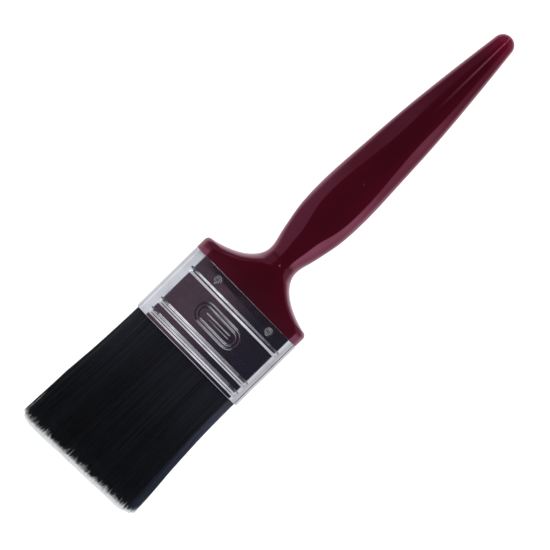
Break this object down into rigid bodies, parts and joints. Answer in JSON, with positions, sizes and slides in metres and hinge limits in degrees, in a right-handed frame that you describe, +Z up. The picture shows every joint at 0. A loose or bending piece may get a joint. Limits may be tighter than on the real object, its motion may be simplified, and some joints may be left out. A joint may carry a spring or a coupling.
{
  "type": "flat paint brush",
  "caption": "Flat decorator's paint brush with a slim lacquered handle, a beaded sheet metal ferrule and a pack of straight dark bristles.",
  "frame": {"origin": "under the middle of the brush's length and width, on the surface that it lies on", "axes": "+Y from the bristle tips to the handle's tip, +Z up through the thickness, +X across the brush"},
  "size_m": [0.0548, 0.2252, 0.0163],
  "materials": {
    "handle_lacquer": "deep maroon dipped gloss lacquer over beech",
    "ferrule_tinplate": "bright plated sheet steel with light handling smudges",
    "nail_steel": "bright wire nail",
    "bristle_black": "black filaments with pale split tips",
    "plug_wood": "sawn softwood",
    "epoxy_resin": "amber set resin"
  },
  "bodies": {
    "root": {"handle": "handle_lacquer", "ferrule": "ferrule_tinplate", "nail_front_left": "nail_steel", "nail_front_right": "nail_steel", "nail_back_left": "nail_steel", "nail_back_right": "nail_steel", "front_bristle_bank": "bristle_black", "back_bristle_bank": "bristle_black", "spacer_plug": "plug_wood", "epoxy_set": "epoxy_resin"}
  },
  "joints": []
}
